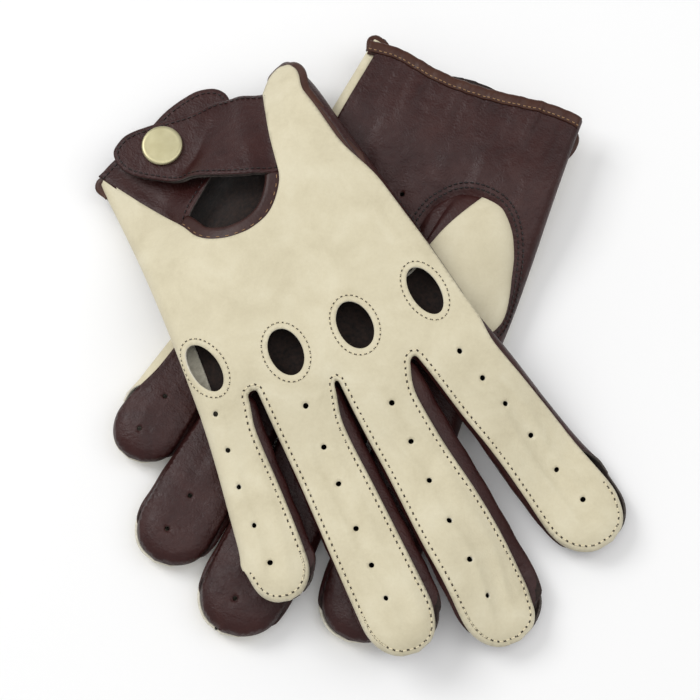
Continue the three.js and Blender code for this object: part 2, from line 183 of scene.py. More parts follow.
def nearest(line, pts):
    """Distance, place along the line as a float index, and the nearest spot for every point."""
    a, b = line[:-1], line[1:]
    d = b - a
    dd = np.maximum((d**2).sum(1), 1e-12)
    dist = np.empty(len(pts))
    place = np.empty(len(pts))
    for lo in range(0, len(pts), 4000):
        p = pts[lo:lo + 4000, None, :]
        k = np.clip(((p - a) * d).sum(2) / dd, 0, 1)
        gap = np.hypot(p[..., 0] - a[:, 0] - k * d[:, 0], p[..., 1] - a[:, 1] - k * d[:, 1])
        best = gap.argmin(1)
        row = np.arange(len(best))
        dist[lo:lo + 4000] = gap[row, best]
        place[lo:lo + 4000] = best + k[row, best]
    i = np.minimum(place.astype(int), len(line) - 2)
    f = (place - i)[:, None]
    return dist, place, line[i] * (1 - f) + line[i + 1] * f


def along(values, place):
    return np.interp(place, np.arange(len(values)), values)


# ---- the hand pattern ----
def finger_edge(finger, side, k):
    root, tip = np.array(finger["root"], float), np.array(finger["tip"], float)
    length = np.hypot(*(tip - root))
    start = 1 - finger["wide"][1] * 0.58 / length
    over = np.clip((k - start) / (1 - start), 0, 1)
    half = 0.5 * mix(finger["wide"][0], finger["wide"][1], ease(k * 1.1)) * np.sqrt(1 - over**2.3)
    across = np.array([(tip - root)[1], -(tip - root)[0]]) / length
    return root + np.outer(k, tip - root) + side * np.outer(half, across)


class Hand:
    """The silhouette of the hand from the cuff over the fingertips back to the cuff."""

    def __init__(self, fingers, thumb_side, feet):
        self.fingers = fingers
        self.rows = []
        half = CUFF_WIDTH / 2
        little = smooth_line([(-half, 0), (-half - 2.2, 34), (-half - 6.2, 68), (-half - 11.6, 103)], 70)
        lead = little[0] + (little[0] - little[3]) * np.linspace(5, 1, 5)[:, None]
        self.add(np.vstack([lead, little[:-1]]), "little")
        near = np.linspace(-0.12, 0.78, 56)
        k = np.concatenate([near, 1 - np.cos(np.linspace(0.05, 1, 28) * math.pi / 2) * 0.22])
        k = np.sort(np.unique(np.clip(k, -1, 1)))
        for i, finger in enumerate(fingers):
            left = k[k >= 0] if i == 0 else self.past_foot(finger, -1, k, feet[i - 1])
            right = k[k >= 0] if i == 3 else self.past_foot(finger, 1, k, feet[i])
            right = right[:-1][::-1]
            self.add(finger_edge(finger, -1, left), "little" if i == 0 else "fork_left", left, i)
            self.add(finger_edge(finger, 1, right), "index" if i == 3 else "fork_right", right, i)
            if i < 3:
                a = self.at_height(finger, 1, k, feet[i])
                b = self.at_height(fingers[i + 1], -1, k, feet[i])
                mid, reach = (a + b) / 2, max((b - a) / 2, 0.5)
                turn = np.linspace(math.pi, 2 * math.pi, 9)
                bowl = np.stack([mid + reach * np.cos(turn), feet[i] + 1.0 * np.sin(turn)], axis=1)
                self.add(bowl, "crotch", None, i)
        side = smooth_line(thumb_side, 110)
        tail = side[-1] + (side[-1] - side[-4]) * np.linspace(1, 5, 5)[:, None]
        self.add(np.vstack([side, tail]), "index")
        self.line = np.array([r[0] for r in self.rows])
        self.kind = np.array([r[1] for r in self.rows])
        self.k = np.array([r[2] for r in self.rows])
        self.finger = np.array([r[3] for r in self.rows])
        self.normal = side_of(self.line)
        self.crotches = [np.nonzero((self.kind == "crotch") & (self.finger == i))[0].tolist() for i in range(3)]
        self.tip = ease((self.k - 0.64) / 0.3)
        self.back = HideEdge(self, "little", 11.6, 1)
        self.palm = HideEdge(self, "index", 8.6, -1)

    def past_foot(self, finger, side, k, foot):
        return k[finger_edge(finger, side, k)[:, 1] > foot + 0.8]

    def at_height(self, finger, side, k, foot):
        p = finger_edge(finger, side, k)
        low = p[:30]
        return np.interp(foot, low[:, 1], low[:, 0])

    def add(self, points, kind, k=None, finger=-1):
        for n, p in enumerate(points):
            self.rows.append((p, kind, 0.0 if k is None else k[n], finger))


def blur_values(values, rounds=3):
    for _ in range(rounds):
        values = np.convolve(np.pad(values, 1, mode="edge"), [0.25, 0.5, 0.25], mode="valid")
    return values


class HideEdge:
    """How one hide behaves along the silhouette: how far in its cut edge lies, negative where it wraps
    round the side, and how high that edge is."""

    def __init__(self, hand, wrap_kind, wrap_reach, up):
        self.up = up
        self.hand = hand
        own = hand.kind == wrap_kind
        other = hand.kind == ("index" if wrap_kind == "little" else "little")
        s = hand.line[:, 1]
        self.wrap = np.where(own, 1 - hand.tip, 0.0)
        ramp = ease(hand.k / 0.14)
        top = ease((hand.k - 0.9) / 0.1)
        inset = np.zeros(len(hand.line))
        # the cream stops short of the side of each finger that faces the thumb, and brown shows there
        far = [1.8, 3.2, 4.8, 3.0] if up > 0 else [0.3, 0.3, 0.3, 0.3]
        near = 0.3 if up > 0 else 1.4
        for n in range(4):
            mine = hand.finger == n
            right = mine & ((hand.kind == "fork_right") | (hand.kind == "index"))
            inset = np.where(mine & (hand.kind == "fork_left"), mix(0.3, near, ramp), inset)
            inset = np.where(right, mix(mix(0.4, far[n], ramp), 1.4, top), inset)
        side = other & (hand.finger < 0)
        if up > 0:
            hem = 3.6 * ease((s - 4) / 12) * (1 - ease((s - 34) / 26))
            inset = np.where(side, 1.0 + hem + 1.4 * ease((s - 108) / 22), inset)
        else:
            inset = np.where(other, mix(4.3, 0.9, ease((hand.k - 0.55) / 0.3)), inset)
        inset = np.where(hand.kind == "crotch", 0.2, inset)
        inset = np.where(own, mix(0.7, -wrap_reach, self.wrap**3), inset)
        self.inset = blur_values(inset)
        e = np.full(len(hand.line), 4.3)
        e = np.where(other | own, 4.8 if up > 0 else 5.9, e)
        self.e = blur_values(mix(e, 1.5 if up > 0 else 0.7, hand.tip * (hand.k > 0)))
        self.edge = hand.line + hand.normal * self.inset[:, None]
        at_fold = np.where(own, 0.7 * (1 - self.wrap), self.inset)
        self.guide = hand.line + hand.normal * blur_values(at_fold)[:, None]
        self.guide_normal = side_of(self.guide)
        self.run = lengths_along(self.guide)

    def section(self, t, s):
        """Signed distance in from the edge or fold, edge height, wrap share, the normal of the nearest
        spot and the length along the edge."""
        pts = np.stack([t, s], axis=1)
        dist, place, spot = nearest(self.guide, pts)
        normal = np.stack([along(self.guide_normal[:, i], place) for i in range(2)], axis=1)
        normal /= np.maximum(np.hypot(normal[:, 0], normal[:, 1]), 1e-9)[:, None]
        wrap = along(self.wrap, place)
        side = np.sign(((pts - spot) * normal).sum(1))
        signed = np.where((side < 0) & (wrap > 0.02), -dist, dist)
        return signed, along(self.e, place), wrap, normal, along(self.run, place)


UPPER_HAND = Hand(
    [dict(root=(-46, 104), tip=(-60, 176.5), wide=(19.5, 24.6)),
     dict(root=(-20.7, 114), tip=(-29.8, 214), wide=(26.4, 29.6)),
     dict(root=(7.2, 118), tip=(5, 228.5), wide=(26.8, 33.2)),
     dict(root=(36.4, 120), tip=(53, 214.5), wide=(28.2, 33.0))],
    [(50.2, 112), (48.7, 82), (46.3, 54), (43.9, 30), (43.5, 8), (42.6, -5)], [104.8, 116.4, 123.0])
LOWER_HAND = Hand(
    [dict(root=(-46, 104), tip=(-54.6, 187), wide=(19.5, 27.4)),
     dict(root=(-20.7, 114), tip=(-28.2, 217), wide=(26.4, 30.4)),
     dict(root=(7.2, 118), tip=(5.6, 229.5), wide=(26.8, 33.0)),
     dict(root=(36.4, 120), tip=(48, 212), wide=(28.2, 32.0))],
    [(51.8, 112), (51.2, 82), (48.7, 55), (46.0, 32), (43.6, 10), (42.3, -5)], [104.8, 116.4, 122.0])

broad_back = Ripple(26, 3, (0.8, 1.5))
broad_palm = Ripple(22, 5, (0.8, 1.5))
crease_back = Ripple(7.5, 7, (0.7, 2.4))
crease_palm = Ripple(6.5, 9, (0.7, 2.2))
crinkle = Ripple(2.7, 11)


def finger_share(s):
    return ease((s - 96) / 26)


def finger_ridges(hand, t, s):
    """Long soft folds down the backs of the fingers where the leather has been bent and smoothed."""
    out = np.zeros(len(t))
    for i, finger in enumerate(hand.fingers):
        root, tip = np.array(finger["root"], float), np.array(finger["tip"], float)
        length = np.hypot(*(tip - root))
        a = (tip - root) / length
        u = (t - root[0]) * a[0] + (s - root[1]) * a[1]
        v = (t - root[0]) * a[1] - (s - root[1]) * a[0]
        near = (np.abs(v) < 15) * ease((u - 6) / 20) * (1 - ease((u - length * 0.8) / (length * 0.16)))
        sway = 1.4 * np.sin(u * 0.07 + i * 1.9) + 0.8 * np.sin(u * 0.16 + i)
        for centre, width, height in ((-4.6, 1.5, 0.60), (3.9, 1.7, 0.52), (-0.4, 2.6, -0.30)):
            out += near * height * np.exp(-(((v - centre - sway) / width) ** 2))
    return out


def hide_place(edge, t, s):
    """Where a spot of the flat hide comes to lie in the glove: t, s, h."""
    t, s = np.asarray(t, float), np.asarray(s, float)
    p, e, wrap, normal, run = edge.section(t, s)
    # a dome that rises from the sewn edge
    full = mix(PALM_DOME, FINGER_DOME, finger_share(s))
    rise = np.sqrt(1 - (1 - np.clip(p / DOME_RUN, 0, 1)) ** 2)
    h_lap = mix(e, full, rise)
    groove = np.exp(-(((p - SEAM_INSET) / 0.75) ** 2)) * (0.24 + 0.08 * np.cos(run * 2 * math.pi / 2.4))
    roll = 0.16 * np.exp(-(((p - 0.9) / 0.6) ** 2)) - 0.22 * np.exp(-((p / 0.45) ** 2))
    h_lap = h_lap + (roll - groove) * (1 - wrap)
    # a fold round the side of the hand
    r = mix(3.4, EDGE_ROUND, ease((s - 2) / 34))
    q = r - p
    phi = np.clip(q / r, 0, math.pi)
    x_fold = np.where(q < 0, p, np.where(q > math.pi * r, r + (q - math.pi * r), r - r * np.sin(phi)))
    h_fold = np.where(q < 0, r, np.where(q > math.pi * r, -r, r * np.cos(phi)))
    h_fold = h_fold + (full - r) * ease((p - 2) / 16)
    x = p + wrap * (x_fold - p)
    h = h_lap * (1 - wrap) + h_fold * wrap
    out_t = t + normal[:, 0] * (x - p)
    out_s = s + normal[:, 1] * (x - p)
    inner = ease((p - 2.5) / 9)
    broad, crease = (broad_back, crease_back) if edge.up > 0 else (broad_palm, crease_palm)
    fingers = finger_share(s)
    lively = 1.0 if edge.up > 0 else 1.9
    h = h + inner * (0.5 * broad(t, s) * (1 - 0.5 * fingers) + 0.16 * lively * crease(t, s))
    h = h + 0.035 * lively * crinkle(t, s)
    if edge.up > 0:
        h = h + finger_ridges(edge.hand, t, s)
    else:
        cuff = (1 - ease((s - 6) / 26))
        gather = np.sin(t * 0.85 + 1.3 * np.sin(t * 0.21)) * 0.5 + np.sin(t * 1.7 + 2) * 0.2
        h = h + inner * cuff * 0.62 * gather
    return out_t, out_s, edge.up * h


# ---- laying the gloves on the table ----
def plan_frame(cuff, degrees, swing):
    a = math.radians(degrees)
    return dict(cuff=np.array(cuff, float), s=np.array([swing * math.sin(a), -math.cos(a)]),
                t=np.array([math.cos(a), swing * math.sin(a)]))


LOWER = plan_frame((48.7, 104.5), 26, -1)
UPPER = plan_frame((-57, 88.5), 30, 1)
LOWER_LEAN, LOWER_THUMB = math.radians(113), 46
UPPER_LEAN, UPPER_THUMB = math.radians(144), 49


def to_table(f, t, s):
    return f["cuff"][0] + t * f["t"][0] + s * f["s"][0], f["cuff"][1] + t * f["t"][1] + s * f["s"][1]


def to_plan(f, x, y):
    dx, dy = x - f["cuff"][0], y - f["cuff"][1]
    return dx * f["t"][0] + dy * f["t"][1], dx * f["s"][0] + dy * f["s"][1]


def thumb_distance(f, lean, length, x, y):
    t, s = to_plan(f, x, y)
    dt, ds = t - THUMB_HOLE[0], s - THUMB_HOLE[1]
    k = np.clip(dt * math.cos(lean) + ds * math.sin(lean), 0, length)
    base = THUMB_HALF[1] + 3.5
    return np.hypot(dt - k * math.cos(lean), ds - k * math.sin(lean)) - mix(base, THUMB_WIDTH / 2, k / length)


def lower_middle(x, y):
    _, s = to_plan(LOWER, x, y)
    return PALM_DOME + 0.05 + LOWER_RISE * (1 - ease((s - 22) / 50))


def upper_drape(x, y):
    t, s = to_plan(LOWER, x, y)
    ring = LOWER_HAND.line[5:-5]
    pts = np.stack([t, s], axis=1)
    outside = np.where(inside(ring, pts), 0, nearest(ring, pts)[0])
    palm = lower_middle(x, y) + PALM_DOME + 0.6
    cover = palm * (1 - ease((outside - 1) / HIDE_FALL))
    thumbs = np.minimum(thumb_distance(LOWER, LOWER_LEAN, LOWER_THUMB, x, y),
                        thumb_distance(UPPER, UPPER_LEAN, UPPER_THUMB, x, y))
    return PALM_DOME + 0.6 + cover + STACK_GAP * (1 - ease((thumbs - 3) / HIDE_FALL))


class Drape:
    """The upper glove's middle surface, softened, on a fine lattice."""
    step = 1.5
    reach = 150

    def __init__(self):
        axis = np.arange(-self.reach, self.reach + self.step, self.step)
        x, y = np.meshgrid(axis, axis, indexing="ij")
        z = upper_drape(x.ravel(), y.ravel()).reshape(x.shape)
        width = np.arange(-6, 7)
        bell = np.exp(-(width * self.step / 4.0) ** 2 / 2)
        bell /= bell.sum()
        for turn in range(2):
            z = np.apply_along_axis(lambda v: np.convolve(np.pad(v, 6, mode="edge"), bell, mode="valid"),
                                    turn, z)
        self.z = z
        self.dx, self.dy = np.gradient(z, self.step)

    def read(self, table, x, y):
        u, v = (x + self.reach) / self.step, (y + self.reach) / self.step
        i = np.clip(u.astype(int), 0, table.shape[0] - 2)
        j = np.clip(v.astype(int), 0, table.shape[1] - 2)
        fu, fv = u - i, v - j
        return mix(mix(table[i, j], table[i + 1, j], fu), mix(table[i, j + 1], table[i + 1, j + 1], fu), fv)

    def surface(self, x, y):
        z, dx, dy = (self.read(table, x, y) for table in (self.z, self.dx, self.dy))
        # flat under the snap
        sx, sy = (np.array([v], float) for v in to_table(UPPER, *SNAP))
        sz, sdx, sdy = (self.read(table, sx, sy) for table in (self.z, self.dx, self.dy))
        share = ease((np.hypot(x - sx, y - sy) - 9) / 18)
        flat = sz + sdx * (x - sx) + sdy * (y - sy)
        return mix(flat, z, share), mix(sdx, dx, share), mix(sdy, dy, share)


DRAPE = Drape()


def lower_surface(x, y):
    step = 0.5
    dx = (lower_middle(x + step, y) - lower_middle(x - step, y)) / (2 * step)
    dy = (lower_middle(x, y + step) - lower_middle(x, y - step)) / (2 * step)
    return lower_middle(x, y), dx, dy


cap_low, cap_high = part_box("left_snap_cap")
cap_x, cap_y = to_table(LOWER, SNAP[0], SNAP[1] + LOWER_TUCK)
cap_z = lower_middle(np.array([cap_x]), np.array([cap_y]))[0] - PALM_DOME - 9
SHIFT = np.array([(cap_low[0] + cap_high[0]) / 2 / MM - cap_x, (cap_low[1] + cap_high[1]) / 2 / MM - cap_y,
                  cap_low[2] / MM - cap_z])


class Glove:
    def __init__(self, name, hand, f, surface, up, lean, thumb, tuck):
        self.hand, self.back, self.palm = hand, hand.back, hand.palm
        self.name, self.f, self.surface, self.up = name, f, surface, up
        self.lean, self.thumb, self.tuck = lean, thumb, tuck
        self.body, self.flap = name + "_glove", name + "_strap_flap"
        self.mirrored = up > 0

    def lay(self, t, s, h):
        """Plan and height, in millimetres, to the place on the table in metres."""
        x, y = to_table(self.f, np.asarray(t, float), np.asarray(s, float))
        z, dx, dy = self.surface(x, y)
        n = np.stack([-dx, -dy, np.ones(len(x))], axis=1)
        n /= np.linalg.norm(n, axis=1)[:, None]
        return (np.stack([x, y, z], axis=1) + n * (self.up * np.asarray(h, float))[:, None] + SHIFT) * MM


LEFT = Glove("left", LOWER_HAND, LOWER, lower_surface, -1, LOWER_LEAN, LOWER_THUMB, LOWER_TUCK)
RIGHT = Glove("right", UPPER_HAND, UPPER, DRAPE.surface, 1, UPPER_LEAN, UPPER_THUMB, 0)


# ---- meshes ----
def new_piece(name, points, faces, materials):
    mesh = bpy.data.meshes.new(name)
    mesh.from_pydata([tuple(p) for p in points], [], [tuple(int(v) for v in f) for f in faces])
    mesh.validate()
    obj = bpy.data.objects.new(name, mesh)
    bpy.context.scene.collection.objects.link(obj)
    for m in materials:
        mesh.materials.append(m)
    mesh.shade_smooth()
    return obj


def cut_flat(outline, holes, spacing, edge_step=None):
    """Fills a flat outline with small triangles, leaving the holes open."""
    loops = [outline] + list(holes)
    if edge_step:
        loops = [even_line(np.vstack([loop, loop[:1]]), edge_step)[:-1] for loop in loops[:1]] + loops[1:]
    low, high = loops[0].min(0), loops[0].max(0)
    rows = []
    y = low[1]
    odd = 0
    while y < high[1]:
        x = np.arange(low[0] + (spacing / 2 if odd else 0), high[0], spacing)
        rows.append(np.stack([x, np.full(len(x), y)], axis=1))
        y += spacing * 0.866
        odd = 1 - odd
    grid = np.vstack(rows)
    keep = inside(loops[0], grid)
    for hole in loops[1:]:
        keep &= ~inside(hole, grid)
    grid = grid[keep]
    for loop in loops:
        closed = np.vstack([loop, loop[:1]])
        grid = grid[nearest(closed, grid)[0] > spacing * 0.45]
    pts, edges = [], []
    for loop in loops:
        start = len(pts)
        pts.extend(loop.tolist())
        edges.extend((start + n, start + (n + 1) % len(loop)) for n in range(len(loop)))
    pts.extend(grid.tolist())
    out = delaunay_2d_cdt([Vector(p) for p in pts], edges, [], 0, 1e-6)
    v = np.array([(p.x, p.y) for p in out[0]])
    f = np.array([t for t in out[2] if len(t) == 3])
    centre = v[f].mean(1)
    keep = inside(loops[0], centre)
    for hole in loops[1:]:
        keep &= ~inside(hole, centre)
    f = f[keep]
    used = np.unique(f)
    remap = -np.ones(len(v), int)
    remap[used] = np.arange(len(used))
    return v[used], remap[f]


def facing(glove, up):
    """True if triangles wound anticlockwise in the plan face outward for a hide on that side."""
    return (up > 0) != glove.mirrored


def thicken(obj, depth, inner, rim):
    wall = obj.modifiers.new("thickness", "SOLIDIFY")
    wall.thickness = depth * MM
    wall.offset = -1
    wall.material_offset = inner
    wall.material_offset_rim = rim


def stand_for(glove, obj, node, body=None):
    """The piece moves with its body and takes the place of the part's own node."""
    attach(obj, body or glove.body)
    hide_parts(f"{glove.name}_{node}")


def sew_hide(glove, name, f, placed, up, materials, node, depth=HIDE, body=None):
    """One hide: its flat cut v, f and the place of every corner."""
    points = glove.lay(*placed)
    faces = f if facing(glove, up) else f[:, ::-1]
    obj = new_piece(f"{glove.name}_{name}", points, faces, materials)
    thicken(obj, depth, 1, 2)
    stand_for(glove, obj, node, body)


def grid_piece(name, rows, materials, flip=False):
    """A sheet through a grid of places, rows[i][j]."""
    rows = np.asarray(rows)
    n, m = rows.shape[:2]
    index = np.arange(n * m).reshape(n, m)
    faces = []
    for i in range(n - 1):
        for j in range(m - 1):
            quad = (index[i, j], index[i, j + 1], index[i + 1, j + 1], index[i + 1, j])
            faces.append(quad[::-1] if flip else quad)
    return new_piece(name, rows.reshape(-1, 3), faces, materials)


def faces_in(grid, row, inner, column=None):
    """True if the sheet through a grid would face from row towards the inner row."""
    j = grid.shape[1] // 2 if column is None else column
    n = np.cross(grid[row][j + 1] - grid[row][j], grid[row + 1][j] - grid[row][j])
    return bool(np.dot(n, grid[row][j] - grid[inner][j]) < 0)


def capsules(name, starts, ends, normals, radius, sag, material, body):
    """Short rounded stitches, each from its start to its end, as one piece."""
    rings = [(0.0, 0.35), (0.12, 0.85), (0.35, 1.0), (0.65, 1.0), (0.88, 0.85), (1.0, 0.35)]
    sides = 6
    pts, faces = [], []
    for a, b, up in zip(starts, ends, normals):
        d = b - a
        length = np.linalg.norm(d)
        if length < 1e-6:
            continue
        d /= length
        u = np.cross(d, up)
        u /= max(np.linalg.norm(u), 1e-9)
        w = np.cross(u, d)
        base = len(pts)
        for k, r in rings:
            centre = a + d * length * k + w * sag * (4 * k * (1 - k) - 0.4)
            for q in range(sides):
                ang = 2 * math.pi * q / sides
                pts.append(centre + (u * math.cos(ang) + w * math.sin(ang)) * radius * r)
        for i in range(base, base + (len(rings) - 1) * sides, sides):
            for q in range(sides):
                e = (q + 1) % sides
                faces.append((i + q, i + e, i + sides + e, i + sides + q))
        faces.append(tuple(base + q for q in reversed(range(sides))))
        faces.append(tuple(base + (len(rings) - 1) * sides + q for q in range(sides)))
    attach(new_piece(name, pts, faces, [material]), body)


def shade_discs(name, centres, normals, radius, material, body):
    """Small flat rounds, such as the painted shade at the mouths of needle holes."""
    sides = 8
    pts, faces = [], []
    for c, n in zip(centres, normals):
        u = np.cross(n, [0.31, 0.7, 0.2])
        u /= np.linalg.norm(u)
        w = np.cross(n, u)
        faces.append(tuple(range(len(pts), len(pts) + sides)))
        for q in range(sides):
            a = 2 * math.pi * q / sides
            pts.append(c + (u * math.cos(a) + w * math.sin(a)) * radius)
    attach(new_piece(name, pts, faces, [material]), body)


# ---- finishes ----
def nodes_of(name):
    m = bpy.data.materials.new(name)
    m.use_nodes = True
    nt = m.node_tree
    return m, nt, nt.nodes["Principled BSDF"]


def ramp(nt, source, stops):
    node = nt.nodes.new("ShaderNodeValToRGB")
    node.color_ramp.elements.remove(node.color_ramp.elements[0])
    for i, (place, colour) in enumerate(stops):
        e = node.color_ramp.elements[0] if i == 0 else node.color_ramp.elements.new(place)
        e.position = place
        e.color = (*colour, 1)
    nt.links.new(source, node.inputs["Fac"])
    return node.outputs["Color"]


def noise(nt, coords, scale, detail=4, rough=0.55, distort=0.0):
    node = nt.nodes.new("ShaderNodeTexNoise")
    node.inputs["Scale"].default_value = scale
    node.inputs["Detail"].default_value = detail
    node.inputs["Roughness"].default_value = rough
    node.inputs["Distortion"].default_value = distort
    nt.links.new(coords, node.inputs["Vector"])
    return node.outputs["Fac"]


def maths(nt, how, a, b):
    node = nt.nodes.new("ShaderNodeMath")
    node.operation = how
    for i, v in enumerate((a, b)):
        if isinstance(v, (int, float)):
            node.inputs[i].default_value = v
        else:
            nt.links.new(v, node.inputs[i])
    return node.outputs[0]


def leather(name, tones, rough, grain=1.0, sheen=0.0, coat=0.0, blotch=60, specular=0.5, wrinkled=1.0,
            wrinkle_scale=240, depth=0.00035):
    """Hide with a fine pebbled grain, soft blotches and creases. tones are dark, middle and light."""
    m, nt, bsdf = nodes_of(name)
    coords = nt.nodes.new("ShaderNodeTexCoord").outputs["Object"]
    big = noise(nt, coords, blotch, 5, 0.6, 0.4)
    fine = noise(nt, coords, 900, 3, 0.6)
    both = maths(nt, "ADD", maths(nt, "MULTIPLY", big, 0.8), maths(nt, "MULTIPLY", fine, 0.2))
    nt.links.new(ramp(nt, both, zip((0.3, 0.5, 0.7), tones)), bsdf.inputs["Base Color"])
    shine = maths(nt, "ADD", maths(nt, "MULTIPLY", noise(nt, coords, blotch * 2.3, 4), 0.3), rough - 0.15)
    nt.links.new(shine, bsdf.inputs["Roughness"])
    pebble = nt.nodes.new("ShaderNodeTexVoronoi")
    pebble.feature = "SMOOTH_F1"
    pebble.inputs["Scale"].default_value = 1500
    nt.links.new(coords, pebble.inputs["Vector"])
    wrinkle = noise(nt, coords, wrinkle_scale, 6, 0.62, 0.6)
    height = maths(nt, "ADD", maths(nt, "MULTIPLY", pebble.outputs["Distance"], 0.45 * grain),
                   maths(nt, "MULTIPLY", wrinkle, 0.9 * wrinkled))
    bump = nt.nodes.new("ShaderNodeBump")
    bump.inputs["Strength"].default_value = 0.38
    bump.inputs["Distance"].default_value = depth
    nt.links.new(height, bump.inputs["Height"])
    nt.links.new(bump.outputs["Normal"], bsdf.inputs["Normal"])
    for socket, value in (("Specular IOR Level", specular), ("Sheen Weight", sheen), ("Coat Weight", coat),
                          ("Coat Roughness", 0.35)):
        bsdf.inputs[socket].default_value = value
    return m


def plain(name, tones, rough, metal=0.0, scale=400, sheen=0.0, bump_depth=0.0002):
    m, nt, bsdf = nodes_of(name)
    coords = nt.nodes.new("ShaderNodeTexCoord").outputs["Object"]
    n = noise(nt, coords, scale, 5)
    nt.links.new(ramp(nt, n, zip((0.3, 0.7), tones)), bsdf.inputs["Base Color"])
    bsdf.inputs["Roughness"].default_value = rough
    bsdf.inputs["Metallic"].default_value = metal
    bsdf.inputs["Sheen Weight"].default_value = sheen
    bump = nt.nodes.new("ShaderNodeBump")
    bump.inputs["Strength"].default_value = 0.4
    bump.inputs["Distance"].default_value = bump_depth
    nt.links.new(n, bump.inputs["Height"])
    nt.links.new(bump.outputs["Normal"], bsdf.inputs["Normal"])
    return m


CREAM = leather("cream_hide", [(0.56, 0.50, 0.345), (0.63, 0.57, 0.405), (0.69, 0.635, 0.47)], 0.58, 0.7, 0.1,
                specular=0.35)
BROWN = leather("brown_hide", [(0.021, 0.0042, 0.0038), (0.032, 0.0076, 0.0066), (0.046, 0.0145, 0.0122)],
                0.40, 1.0, 0.0, 0.03, 75, specular=0.28, wrinkled=1.5, wrinkle_scale=420, depth=0.0008)
STRIP = leather("binding_hide", [(0.034, 0.010, 0.006), (0.050, 0.016, 0.009), (0.068, 0.027, 0.015)], 0.42,
                0.8, 0.0, 0.03, 110, specular=0.28)
DARK_STRIP = leather("keyhole_binding_hide",
                     [(0.022, 0.006, 0.0045), (0.034, 0.010, 0.0075), (0.048, 0.018, 0.013)],
                     0.42, 0.8, 0.0, 0.03, 110, specular=0.28)
CREAM_FLESH = plain("cream_flesh", [(0.42, 0.39, 0.31), (0.60, 0.57, 0.47)], 0.9, sheen=0.4, scale=700,
                    bump_depth=0.0005)
BROWN_FLESH = plain("brown_flesh", [(0.005, 0.0025, 0.002), (0.026, 0.013, 0.009)], 0.92, sheen=0.12,
                    scale=650, bump_depth=0.0005)
CREAM_EDGE = plain("cream_cut_edge", [(0.62, 0.58, 0.47), (0.78, 0.74, 0.63)], 0.85, scale=900)
BROWN_EDGE = plain("brown_cut_edge", [(0.030, 0.022, 0.018), (0.095, 0.080, 0.070)], 0.8, scale=900)
PALE_THREAD = plain("pale_thread", [(0.66, 0.58, 0.38), (0.80, 0.73, 0.54)], 0.6, scale=2500)
TAN_THREAD = plain("tan_thread", [(0.22, 0.12, 0.05), (0.38, 0.22, 0.11)], 0.6, scale=2500)
DARK_THREAD = plain("dark_thread", [(0.004, 0.002, 0.002), (0.012, 0.006, 0.005)], 0.5, scale=2500)
# painted shade: these dark materials colour the discs that stand in for the shadow inside each needle hole
NEEDLE_SHADE = plain("needle_shadow", [(0.022, 0.014, 0.008), (0.045, 0.030, 0.017)], 0.9)
NEEDLE_SHADE_DARK = plain("needle_shadow_dark", [(0.008, 0.004, 0.004), (0.016, 0.010, 0.008)], 0.9)
BRASS = plain("aged_brass", [(0.46, 0.42, 0.25), (0.55, 0.51, 0.32)], 0.42, metal=0.8, scale=160,
              bump_depth=0.00005)

BROWN_PLY = [BROWN, BROWN_FLESH, BROWN_EDGE]      # outer face, inner face, cut edge
CREAM_PLY = [CREAM, CREAM_FLESH, CREAM_EDGE]

# ---- kinds of stitch, in millimetres; hole is the radius and the painted-shade material of the dark discs at the needle holes ----
Stitch = namedtuple("Stitch", "pitch length radius thread hole slant", defaults=(None, 0.0))
PRICK_SEAM = Stitch(2.4, 1.95, 0.22, PALE_THREAD, (0.35, NEEDLE_SHADE), 0.05)
KNUCKLE_SEAM = Stitch(1.9, 1.4, 0.18, PALE_THREAD, (0.26, NEEDLE_SHADE))
WRIST_SEAM = Stitch(2.0, 1.35, 0.22, TAN_THREAD, (0.18, NEEDLE_SHADE_DARK))
KEYHOLE_SEAM = Stitch(3.4, 1.5, 0.17, TAN_THREAD)
FLAP_SEAM = Stitch(2.2, 1.5, 0.22, DARK_THREAD)
THUMB_SEAM_ROW = Stitch(2.1, 1.5, 0.27, DARK_THREAD)

# ---- where things are on each glove ----
CUFF_PALM = smooth_line([(-44.0, 3.4), (-32, 1.6), (-14, 3.2), (0, 2.4), (17, -0.8), (32, -4), (42.4, -4.6)],
                        60)
KEYHOLE_RUN = smooth_line([STRAP_ROOT[1]] + KEYHOLE[::-1] + [TAB_ROOT[1]], 60)


def cuff_trim(edge):
    """Keeps the part of an edge line that lies past the cuff."""
    line = edge.edge
    low, high = (0.5, 3.0) if edge.up > 0 else (3.6, -4.4)
    hem = np.interp(line[:, 0], [-44, 40], [low, high])
    keep = line[:, 1] > hem
    return line[keep]


def strap_lift(t, s):
    (t0, s0), (t1, s1) = STRAP_ROOT
    dt, ds = t1 - t0, s1 - s0
    d = ((t - t0) * -ds + (s - s0) * dt) / math.hypot(dt, ds)
    d = np.abs(d)
    return mix(-3.3, 0.4, ease(d / 9)) + 3.9 * ease((d - 8) / 22)


def root_distance(root, t, s):
    pts = np.stack([np.asarray(t, float), np.asarray(s, float)], axis=1)
    return nearest(np.array(root, float), pts)[0]


def tucked(glove, t, s):
    reach = np.minimum(root_distance(STRAP_ROOT, t, s), root_distance(TAB_ROOT, t, s))
    return s + glove.tuck * ease((reach - 0.6) / 13)


STRAP = [(15.5, 37), (8.7, 35.6), (1.9, 33.0), (-10.5, 25.2), (-24.7, 13.2), (-32.2, 6.2), (-34.9, 0.5),
         (-34.4, -5.1), (-31, -7.8), (-25.8, -9.2), (-17.8, -8.1), (-6.1, -5.5), (6.6, -2.4), (19.4, 2.4),
         (29.0, 6.4)]
TAB = [(-43.0, -3.4), (-32, -6), (-18.9, -9.2), (-8.7, -12.8), (0, -14.2), (7.3, -14), (13.5, -10.5),
       (16, -3), (13, 8), (4, 18), (-9.4, 27.2), (-19.1, 33), (-26.4, 36.6)]


